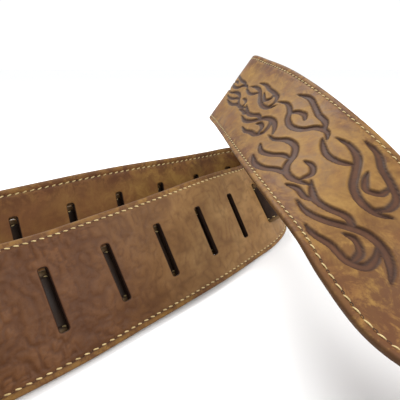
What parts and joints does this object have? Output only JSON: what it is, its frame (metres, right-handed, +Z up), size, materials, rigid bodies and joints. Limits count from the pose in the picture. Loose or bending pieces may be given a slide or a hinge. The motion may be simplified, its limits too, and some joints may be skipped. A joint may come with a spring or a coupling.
{
  "type": "guitar strap",
  "caption": "Wide tooled-leather guitar strap with a slotted end, stitched lining and a narrow tail strap threaded through the slots, laid in a loop.",
  "frame": {"origin": "centre of the bounding box in plan, on the surface the strap stands on", "axes": "+Z up; +Y from the near loop towards the crest of the decorated stretch; +X towards the front end"},
  "size_m": [0.3781, 0.4198, 0.1374],
  "materials": {
    "face_leather": "oiled, mottled golden tan and dark brown, with darker pressed-in pattern",
    "lining_leather": "soft wrinkled garment leather",
    "thread": "waxed cream thread",
    "tail_leather": "dark brown strap leather, burnished edges"
  },
  "bodies": {
    "strap": {"front_leather": "face_leather", "back_lining": "lining_leather", "front_seam_upper": "thread", "front_seam_lower": "thread", "back_seam_upper": "thread", "back_seam_lower": "thread", "front_seam_slotted_end": "thread", "back_seam_slotted_end": "thread", "tail_strap_threaded_run": "tail_leather"},
    "tail": {"tail_strap_sliding_run": "tail_leather"}
  },
  "joints": [
    {"name": "tail_slide", "type": "slide", "parent": "strap", "child": "tail", "axis": [-0.7711, -0.6366, -0.0067], "range_m": [0, 0.0668]}
  ]
}
